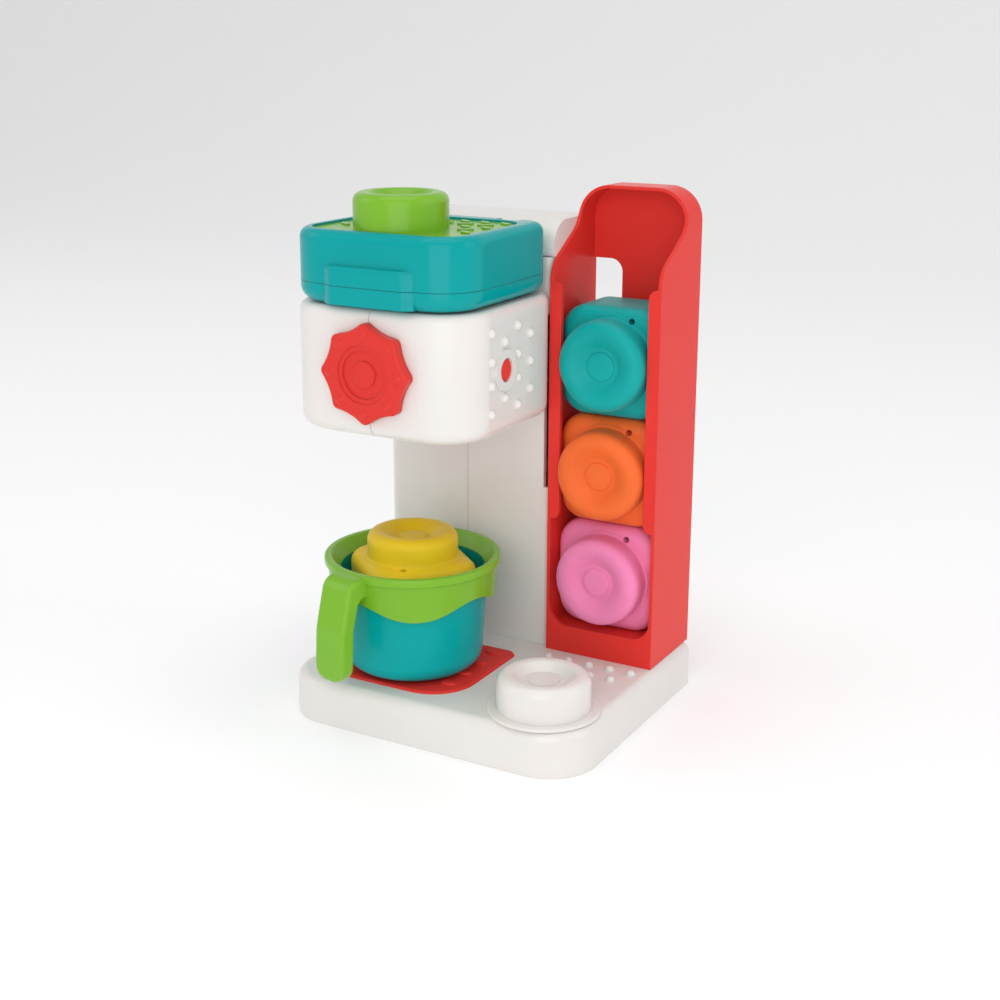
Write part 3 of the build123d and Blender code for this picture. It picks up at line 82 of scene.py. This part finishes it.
# the right body shell begins where the shells meet, and the lid's shell where its halves meet
BODY_SPLIT_X, BODY_SEAM_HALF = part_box("body_right_shell")[0].x, 0.11 * MM
LID_SPLIT_Z, LID_SEAM_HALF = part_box("lid_shell")[0].z, 0.16 * MM


# ---------------------------------------------------------------- node helpers
def feed(tree, node, sockets):
    """Gives each of the node's sockets a plain value or another node's output."""
    for key, value in sockets.items():
        if isinstance(value, bpy.types.NodeSocket):
            tree.links.new(value, node.inputs[key])
        else:
            node.inputs[key].default_value = value


def add_node(tree, kind, sockets):
    node = tree.nodes.new(kind)
    feed(tree, node, sockets)
    return node


def new_material(name):
    """Material with its tree, its shader and the coordinates of the piece it is on."""
    mat = bpy.data.materials.new(name)
    mat.use_nodes = True
    tree = mat.node_tree
    shader = next(n for n in tree.nodes if n.type == "BSDF_PRINCIPLED")
    return mat, tree, shader, tree.nodes.new("ShaderNodeTexCoord").outputs["Object"]


def noise(tree, coords, scale, detail):
    sockets = {"Vector": coords, "Scale": scale, "Detail": detail, "Roughness": 0.5}
    return add_node(tree, "ShaderNodeTexNoise", sockets).outputs["Fac"]


def remap(tree, value, low, high, to_low, to_high):
    ends = {"From Min": low, "From Max": high, "To Min": to_low, "To Max": to_high}
    return add_node(tree, "ShaderNodeMapRange", {"Value": value, **ends}).outputs["Result"]


def cloudy(tree, coords, scale, detail, low, high):
    """Soft patches between two values: the usual range of a noise, stretched."""
    return remap(tree, noise(tree, coords, scale, detail), 0.3, 0.7, low, high)


def math_node(tree, operation, *values):
    node = add_node(tree, "ShaderNodeMath", dict(enumerate(values)))
    node.operation = operation
    return node.outputs[0]


def mix_colour(tree, factor, a, b):
    node = tree.nodes.new("ShaderNodeMix")
    node.data_type = "RGBA"
    tree.links.new(factor, next(s for s in node.inputs if s.type == "VALUE"))
    for socket, value in zip([s for s in node.inputs if s.type == "RGBA"], (a, b)):
        if isinstance(value, tuple):
            socket.default_value = (*value, 1.0)
        else:
            tree.links.new(value, socket)
    return next(s for s in node.outputs if s.type == "RGBA")


def bump(tree, height, strength, distance, below=None, invert=False):
    """Relief on the piece's own normal, or on the normal of the relief below it."""
    relief = {"Height": height, "Strength": strength, "Distance": distance}
    node = add_node(tree, "ShaderNodeBump", relief)
    node.invert = invert
    if below is not None:
        tree.links.new(below, node.inputs["Normal"])
    return node.outputs["Normal"]


def scaled(colour, factor):
    return tuple(min(1.0, c * factor) for c in colour)


# ---------------------------------------------------------------- materials
def rubbed_edges(tree, coords, amount):
    """Patchy wear along the piece's edges, and the normal that rounds them."""
    bevel = add_node(tree, "ShaderNodeBevel", {"Radius": EDGE_RADIUS})
    bevel.samples = 4
    rounded = bevel.outputs["Normal"]
    true_normal = tree.nodes.new("ShaderNodeNewGeometry").outputs["Normal"]
    dot = add_node(tree, "ShaderNodeVectorMath", {0: rounded, 1: true_normal})
    dot.operation = "DOT_PRODUCT"
    at_edge = remap(tree, dot.outputs["Value"], EDGE_BEGINS, EDGE_FULL, 0.0, 1.0)
    patches = remap(tree, noise(tree, coords, scale=210.0, detail=4.0), 0.42, 0.62, 0.25, 1.0)
    worn = math_node(tree, "MULTIPLY", at_edge, patches)
    return math_node(tree, "MULTIPLY", worn, amount), rounded


def plastic(name, colour, rough, grain=0.3, waviness=0.4, edge=0.5, specular=0.5, seam=None):
    """Moulded plastic: slight flow marks, uneven gloss, soft rubbed edges and a fine grain.

    seam is (axis, place, half width) in metres: a thin dark line where two mouldings meet."""
    mat, tree, shader, coords = new_material(name)
    flow = cloudy(tree, coords, scale=38.0, detail=3.0, low=0.0, high=1.0)
    body = mix_colour(tree, flow, scaled(colour, 0.985), scaled(colour, 1.015))
    worn, rounded = rubbed_edges(tree, coords, edge)
    body = mix_colour(tree, worn, body, tuple(c + (1.0 - c) * WORN_LIGHTER for c in colour))
    # long shallow waves of the mould, and the fine grain of its skin
    waves = noise(tree, coords, scale=26.0, detail=1.0)
    normal = bump(tree, waves, waviness, 0.08 * MM, rounded)
    skin = noise(tree, coords, scale=2100.0, detail=2.0)
    normal = bump(tree, skin, grain, 0.012 * MM, normal)
    if seam:
        axis, place, half = seam
        split = add_node(tree, "ShaderNodeSeparateXYZ", {"Vector": coords})
        off = math_node(tree, "ABSOLUTE", math_node(tree, "SUBTRACT", split.outputs[axis], place))
        line = remap(tree, off, half * SEAM_CORE, half, 1.0, 0.0)
        cover = math_node(tree, "MULTIPLY", line, SEAM_COVER)
        body = mix_colour(tree, cover, body, scaled(colour, SEAM_DARK))
        normal = bump(tree, line, 0.8, 0.1 * MM, normal, invert=True)
    gloss = cloudy(tree, coords, scale=95.0, detail=4.0, low=rough - 0.012, high=rough + 0.02)
    rubbed = math_node(tree, "MULTIPLY", worn, WORN_ROUGHER)
    sockets = {
        "Base Color": body,
        "Roughness": math_node(tree, "ADD", gloss, rubbed),
        "Normal": normal,
        "IOR": 1.49,
        "Specular IOR Level": specular,
    }
    feed(tree, shader, sockets)
    return mat


def soft_rubber(name, colour):
    """Satin rubber of the pods: cloudy, finely specked and pitted, a little light in its edges."""
    mat, tree, shader, coords = new_material(name)
    cloud = cloudy(tree, coords, scale=55.0, detail=4.0, low=0.0, high=1.0)
    body = mix_colour(tree, cloud, scaled(colour, 0.94), scaled(colour, 1.05))
    specks = remap(tree, noise(tree, coords, scale=900.0, detail=1.0), 0.66, 0.74, 0.0, 0.22)
    pits = add_node(tree, "ShaderNodeTexVoronoi", {"Vector": coords, "Scale": 1500.0})
    normal = bump(tree, pits.outputs["Distance"], 0.35, 0.03 * MM)
    swell = noise(tree, coords, scale=60.0, detail=1.0)
    sockets = {
        "Base Color": mix_colour(tree, specks, body, scaled(colour, 0.82)),
        "Roughness": cloudy(tree, coords, scale=130.0, detail=4.0, low=0.36, high=0.47),
        "Normal": bump(tree, swell, 0.5, 0.3 * MM, normal),
        "IOR": 1.45,
        "Specular IOR Level": 0.25,
        "Subsurface Weight": 0.22,
        "Subsurface Radius": (1.0, 0.7, 0.6),
        "Subsurface Scale": 2 * MM,
        "Sheen Weight": 0.08,
        "Sheen Roughness": 0.4,
    }
    feed(tree, shader, sockets)
    return mat


def steel(name):
    """Zinc-plated steel of the screws and pins, finely mottled in tone, gloss and relief."""
    mat, tree, shader, coords = new_material(name)
    mottle = noise(tree, coords, scale=700.0, detail=3.0)
    marks = noise(tree, coords, scale=3500.0, detail=2.0)
    sockets = {
        "Base Color": mix_colour(tree, mottle, DARK_ZINC, LIGHT_ZINC),
        "Roughness": cloudy(tree, coords, scale=1500.0, detail=3.0, low=0.24, high=0.42),
        "Normal": bump(tree, marks, 0.4, 0.02 * MM),
        "Metallic": 1.0,
    }
    feed(tree, shader, sockets)
    return mat


def pale_paper():
    """Matt paper of the floor, with a slight glow so that the shadows on it stay pale."""
    mat, tree, shader, coords = new_material("pale_paper")
    fibres = noise(tree, coords, scale=6.0, detail=3.0)
    sockets = {
        "Base Color": mix_colour(tree, fibres, DARK_PAPER, LIGHT_PAPER),
        "Roughness": 0.85,
        "Emission Color": (1.0, 1.0, 1.0, 1.0),
        "Emission Strength": 0.10,
        "Specular IOR Level": 0.2,
    }
    feed(tree, shader, sockets)
    return mat


body_seam = ("X", BODY_SPLIT_X, BODY_SEAM_HALF)
lid_seam = ("Z", LID_SPLIT_Z, LID_SEAM_HALF)
white = plastic("white_moulding", WHITE, 0.20, grain=0.12, waviness=0.2)
white_body = plastic("white_body", WHITE, 0.20, grain=0.12, waviness=0.2, seam=body_seam)
red = plastic("red_moulding", RED, 0.24, edge=0.3, specular=0.09)
teal_lid = plastic("teal_lid", LID_TEAL, 0.15, edge=0.25, specular=0.17, seam=lid_seam)
teal_cup = plastic("teal_cup", CUP_TEAL, 0.22, edge=0.25, specular=0.13)
green = plastic("green_moulding", GREEN, 0.22, edge=0.4, specular=0.35)
red_knob = plastic("red_knob", KNOB_RED, 0.30, edge=0.3, waviness=0.3, specular=0.22)
plated = steel("plated_steel")
rubber = {
    "pod_pink": soft_rubber("pink_rubber_skin", SOFT_PINK),
    "pod_orange": soft_rubber("orange_rubber_skin", SOFT_ORANGE),
    "pod_teal": soft_rubber("teal_rubber_skin", SOFT_TEAL),
    "pod_yellow": soft_rubber("yellow_rubber_skin", SOFT_YELLOW),
}
node_material = {
    "base_shell": white,
    "base_cover": white,
    "parking_stud": white,
    "hood": white,
    "body_left_shell": white_body,
    "body_right_shell": white_body,
    "drip_mat": red,
    "dispenser": red,
    "pod_well": red,
    "pod_cradle": red,
    "knob": red_knob,
    "lid_shell": teal_lid,
    "lid_base": teal_lid,
    "lid_plate": green,
    "cup_body": teal_cup,
    "cup_collar": green,
    "cover_screws": plated,
    "column_screws": plated,
    "dispenser_screws": plated,
    "shell_screws": plated,
    "lid_screws": plated,
    "lid_hinge_pins": plated,
    **rubber,
}
for node_name, mat in node_material.items():
    slots = nodes[node_name].material_slots
    if slots:
        for slot in slots:
            slot.material = mat
    else:
        nodes[node_name].data.materials.append(mat)

# ---------------------------------------------------------------- soft pods, in millimetres
# heights count from a pod's back, and the pink pod's box is square to the axes
pod_low, pod_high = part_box("pod_pink")
POD_HALF = round((pod_high.x - pod_low.x) / 2 / MM, 3)
STUD_TOP = round((pod_high.y - pod_low.y) / MM, 3)
STUD_RADIUS, STUD_HEIGHT, RIM_RADIUS = 20.3, 12.0, 4.5
POD_DEPTH, POD_CORNER = STUD_TOP - STUD_HEIGHT, 12.0
FRONT_EDGE, FRONT_EDGE_DEPTH, FRONT_CROWN = 5.6, 5.0, 4.95
BACK_EDGE = 3.5
# the front face's rings stay outside the stud's flank: by a gap, and a step for each ring's number
FOOT_CLEARANCE, FOOT_STEP = 0.7, 0.02
HOLE_RADIUS, HOLE_FROM_AXIS = 1.45, 22.1
CUTTER_MIDDLE, CUTTER_LENGTH, CUTTER_SEGMENTS = 24, 20, 24
POD_SEGMENTS = 96
# degrees: the air hole's direction, the least angle of a sharp edge, the yellow pod's turn in the cup
HOLE_ANGLE, SHARP_ANGLE, YELLOW_POD_TURN = 62.0, 48, -130.4

# the stud's dish from its middle out, as (radius, depth under the rim's crest)
MEDALLION = ((0.0, 2.8), (3.0, 2.8), (5.7, 2.8), (6.1, 2.88), (6.35, 3.2))
RING_LINE = ((6.5, 3.55), (7.0, 3.7), (8.0, 3.65), (8.6, 3.4), (9.1, 2.98))
DISH_SLOPE = ((9.7, 2.55), (10.5, 2.05), (11.4, 1.45), (12.4, 0.85), (13.4, 0.4))
DISH_CREST = ((14.4, 0.12), (15.3, 0.0))
# the stud's flank and foot, and the rings that change from its circle to the cushion's square
FLANK_HEIGHTS = (STUD_TOP - 7.5, POD_DEPTH + 1.2)
FOOT = ((STUD_RADIUS + 0.15, POD_DEPTH + 0.5), (STUD_RADIUS + 0.6, POD_DEPTH + 0.1))
SQUARE_START, SQUARE_SHARES = STUD_RADIUS + 0.8, (0.12, 0.35, 0.6, 0.82)
SIDE_HEIGHTS = (21.0, 16.0, 11.0, 6.0)
# the socket from its mouth in the back, as (radius, height): its snug wall, then the wider room
SOCKET_WALL = ((20.75, 0.0), (20.45, 0.3), (20.45, 6.0), (20.45, 11.7), (20.75, 12.0))
SOCKET_ROOM = ((22.5, 12.0), (22.8, 12.3), (22.8, 16.6), (22.4, 17.0), (12.0, 17.0), (0.0, 17.0))


def rounded_square(half, corner, angle):
    """Distance from the middle of a rounded square to its edge, in the direction of the angle."""
    c, s = abs(math.cos(angle)), abs(math.sin(angle))
    flat = half - corner
    reach = half / max(c, s)
    if reach * min(c, s) <= flat:
        return reach
    b = flat * (c + s)
    return b + math.sqrt(max(b * b - 2 * flat * flat + corner * corner, 0.0))


def arc(start, end, count):
    """Cosine and sine at the points of an arc, its angles in degrees."""
    angles = [math.radians(start + (end - start) * k / count) for k in range(count + 1)]
    return [(math.cos(a), math.sin(a)) for a in angles]


def pod_rings():
    """Rings of a pod from the stud's middle over its rim, the cushion body and the back into the socket.

    Each is (share of the square, size, height): share 0 is a circle of that radius, share 1 the
    rounded square of that half width."""
    dish = MEDALLION + RING_LINE + DISH_SLOPE + DISH_CREST
    rings = [(0, r, STUD_TOP - depth) for r, depth in dish]
    rim_r, rim_height = STUD_RADIUS - RIM_RADIUS, STUD_TOP - RIM_RADIUS
    rings += [(0, rim_r + RIM_RADIUS * c, rim_height + RIM_RADIUS * s) for c, s in arc(88, 0, 9)]
    rings += [(0, STUD_RADIUS, height) for height in FLANK_HEIGHTS]
    rings += [(0, r, height) for r, height in FOOT]
    rings += [(share, SQUARE_START, POD_DEPTH) for share in SQUARE_SHARES]
    # crowned front face and its soft edge, the side, and the edge of the back
    for c, s in arc(0, 90, 8):
        size = POD_HALF - FRONT_EDGE + FRONT_EDGE * s
        rings.append((1, size, POD_DEPTH - FRONT_EDGE_DEPTH + FRONT_CROWN * c))
    rings += [(1, POD_HALF, height) for height in SIDE_HEIGHTS]
    for c, s in arc(0, 90, 7)[1:]:
        rings.append((1, POD_HALF - BACK_EDGE + BACK_EDGE * c, BACK_EDGE - BACK_EDGE * s))
    return rings + [(0, r, height) for r, height in SOCKET_WALL + SOCKET_ROOM]


def ring_radius(index, share, size, height, angle):
    """Radius of a ring in one direction. On the front face it stays clear of the stud's foot."""
    r = size
    if share == 1:
        r = rounded_square(size, POD_CORNER - (POD_HALF - size), angle)
    elif share:
        edge = rounded_square(POD_HALF - FRONT_EDGE, POD_CORNER - FRONT_EDGE, angle)
        r = size + (edge - size) * share
    if share and height > POD_DEPTH - FRONT_EDGE_DEPTH:
        r = max(r, STUD_RADIUS + FOOT_CLEARANCE + FOOT_STEP * index)
    return r


def bridge(bm, inner, outer):
    """Faces between two rings, one of which may be a single point."""
    if len(inner) == 1 or len(outer) == 1:
        tip, ring = (inner, outer) if len(inner) == 1 else (outer, inner)
        for k in range(POD_SEGMENTS):
            bm.faces.new((tip[0], ring[k], ring[(k + 1) % POD_SEGMENTS]))
    else:
        for k in range(POD_SEGMENTS):
            n = (k + 1) % POD_SEGMENTS
            bm.faces.new((inner[k], outer[k], outer[n], inner[n]))


def pod_mesh(node_name, origin, x_dir, y_dir, normal):
    bm = bmesh.new()
    loops = []
    for index, (share, size, height) in enumerate(pod_rings()):
        if size == 0.0:
            loops.append([bm.verts.new(origin + normal * height * MM)])
            continue
        loop = []
        for k in range(POD_SEGMENTS):
            a = 2 * math.pi * k / POD_SEGMENTS
            r = ring_radius(index, share, size, height, a)
            outward = x_dir * math.cos(a) + y_dir * math.sin(a)
            loop.append(bm.verts.new(origin + (outward * r + normal * height) * MM))
        loops.append(loop)
    for inner, outer in zip(loops, loops[1:]):
        bridge(bm, inner, outer)
    bmesh.ops.recalc_face_normals(bm, faces=bm.faces)
    mesh = bpy.data.meshes.new(node_name + "_soft")
    bm.to_mesh(mesh)
    bm.free()
    mesh.materials.append(rubber[node_name])
    return mesh


def cut_air_hole(pod, origin, x_dir, y_dir, normal):
    """Cuts the air hole through the front face into the socket."""
    a = math.radians(HOLE_ANGLE)
    hole_centre = origin + (x_dir * math.cos(a) + y_dir * math.sin(a)) * HOLE_FROM_AXIS * MM
    axes = Matrix((x_dir, y_dir, normal)).transposed().to_4x4()
    cutter_bm = bmesh.new()
    bmesh.ops.create_cone(
        cutter_bm,
        cap_ends=True,
        segments=CUTTER_SEGMENTS,
        radius1=HOLE_RADIUS * MM,
        radius2=HOLE_RADIUS * MM,
        depth=CUTTER_LENGTH * MM,
        matrix=Matrix.Translation(hole_centre + normal * CUTTER_MIDDLE * MM) @ axes,
    )
    cutter_mesh = bpy.data.meshes.new("cutter")
    cutter_bm.to_mesh(cutter_mesh)
    cutter_bm.free()
    cutter = bpy.data.objects.new("cutter", cutter_mesh)
    scene.collection.objects.link(cutter)
    cut = pod.modifiers.new("air_hole", "BOOLEAN")
    cut.operation = "DIFFERENCE"
    cut.solver = "EXACT"
    cut.object = cutter
    bpy.context.view_layer.update()
    evaluated = pod.evaluated_get(bpy.context.evaluated_depsgraph_get())
    finished = bpy.data.meshes.new_from_object(evaluated)
    pod.modifiers.clear()
    pod.data = finished
    bpy.data.objects.remove(cutter)


def make_soft_pod(node_name, body, origin, x_dir, normal):
    """Soft pod in place of its plain solid.

    origin is the middle of its back, and normal points from there to its stud."""
    y_dir = normal.cross(x_dir)
    pod = bpy.data.objects.new(node_name + "_soft", pod_mesh(node_name, origin, x_dir, y_dir, normal))
    scene.collection.objects.link(pod)
    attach(pod, body)
    cut_air_hole(pod, origin, x_dir, y_dir, normal)
    for face in pod.data.polygons:
        face.use_smooth = True
    pod.data.set_sharp_from_angle(angle=math.radians(SHARP_ANGLE))
    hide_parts(node_name)


for pod_name, body_name, slot_name in (
    ("pod_pink", "pink_pod", "pink_rubber"),
    ("pod_orange", "orange_pod", "orange_rubber"),
    ("pod_teal", "teal_pod", "teal_rubber"),
):
    low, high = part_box(pod_name)
    back = Vector(((low.x + high.x) / 2, high.y, (low.z + high.z) / 2))
    make_soft_pod(pod_name, body_name, back, Vector((1, 0, 0)), Vector((0, -1, 0)))

low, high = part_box("pod_yellow")
turn = math.radians(YELLOW_POD_TURN)
make_soft_pod(
    "pod_yellow",
    "yellow_pod",
    Vector(((low.x + high.x) / 2, (low.y + high.y) / 2, low.z)),
    Vector((math.cos(turn), math.sin(turn), 0)),
    Vector((0, 0, 1)),
)

# ---------------------------------------------------------------- studio, in metres
SHEET_HALF_WIDTH, SHEET_FRONT, SHEET_MIDDLE, SHEET_TOP = 5.0, -4.0, -1.0, 5.0
SWEEP_START, SWEEP_RADIUS, SWEEP_STEP = 1.2, 1.6, 6
ROOM_COLOUR, ROOM_STRENGTH = (0.99, 0.99, 1.0, 1.0), 0.62
# name, place, target, width, height and power
SOFTBOXES = (
    ("front_softbox", (0.27, -0.62, 0.33), (0, 0, 0.12), 0.60, 0.62, 1.7),
    ("left_softbox", (-1.5, -0.7, 1.0), (0, 0, 0.12), 1.1, 1.1, 3.2),
    ("right_softbox", (1.5, 0.3, 0.8), (0, 0, 0.12), 0.8, 1.2, 3.0),
    ("top_softbox", (0.0, -0.1, 1.9), (0, 0, 0.1), 1.6, 1.6, 9.0),
)


def stage_sheet():
    """Floor that runs up into a backdrop in one sweep."""
    bm = bmesh.new()
    line = [(SHEET_FRONT, 0.0), (SHEET_MIDDLE, 0.0), (SWEEP_START, 0.0)]
    for degrees in range(SWEEP_STEP, 91, SWEEP_STEP):
        a = math.radians(degrees)
        line.append((SWEEP_START + SWEEP_RADIUS * math.sin(a), SWEEP_RADIUS - SWEEP_RADIUS * math.cos(a)))
    line.append((SWEEP_START + SWEEP_RADIUS, SHEET_TOP))
    rows = [[bm.verts.new((x, y, z)) for x in (-SHEET_HALF_WIDTH, SHEET_HALF_WIDTH)] for y, z in line]
    for a, b in zip(rows, rows[1:]):
        bm.faces.new((a[0], a[1], b[1], b[0]))
    mesh = bpy.data.meshes.new("studio_floor")
    bm.to_mesh(mesh)
    bm.free()
    for face in mesh.polygons:
        face.use_smooth = True
    mesh.materials.append(pale_paper())
    sheet = bpy.data.objects.new("studio_floor", mesh)
    scene.collection.objects.link(sheet)
    sheet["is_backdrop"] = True


stage_sheet()

for name, place, target, width, height, power in SOFTBOXES:
    data = bpy.data.lights.new(name, "AREA")
    data.shape = "RECTANGLE"
    data.size = width
    data.size_y = height
    data.energy = power
    light = bpy.data.objects.new(name, data)
    scene.collection.objects.link(light)
    light.location = place
    light.rotation_mode = "QUATERNION"
    light.rotation_quaternion = (Vector(target) - Vector(place)).to_track_quat("-Z", "Y")

world = bpy.data.worlds.new("soft_room")
world.use_nodes = True
room = {"Color": ROOM_COLOUR, "Strength": ROOM_STRENGTH}
feed(world.node_tree, world.node_tree.nodes["Background"], room)
scene.world = world
scene.view_settings.view_transform = "Standard"
scene.view_settings.look = "None"

# ---------------------------------------------------------------- camera
# place, turn and lens come from a fit over the photograph's edges and corners
CAMERA_PLACE = Vector((330.18, -582.85, 298.985)) * MM
YAW, PITCH, ROLL = 0.51003, 0.2630, 0.0034
SENSOR_WIDTH, LENS_PER_WIDTH, SHIFT_UP = 36.0, 1.55284, -0.05

forward = Vector((-math.sin(YAW) * math.cos(PITCH), math.cos(YAW) * math.cos(PITCH), -math.sin(PITCH)))
right = Vector((math.cos(YAW), math.sin(YAW), 0.0))
up = right.cross(forward)
right, up = right * math.cos(ROLL) + up * math.sin(ROLL), up * math.cos(ROLL) - right * math.sin(ROLL)
turned = Matrix((right, up, -forward)).transposed().to_4x4()
camera_data = bpy.data.cameras.new("camera")
camera_data.sensor_width = SENSOR_WIDTH
camera_data.lens = SENSOR_WIDTH * LENS_PER_WIDTH
camera_data.shift_y = SHIFT_UP
camera_data.clip_start = 0.01
camera_data.clip_end = 50.0
camera = bpy.data.objects.new("camera", camera_data)
scene.collection.objects.link(camera)
camera.matrix_world = Matrix.Translation(CAMERA_PLACE) @ turned
scene.camera = camera

low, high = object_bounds()
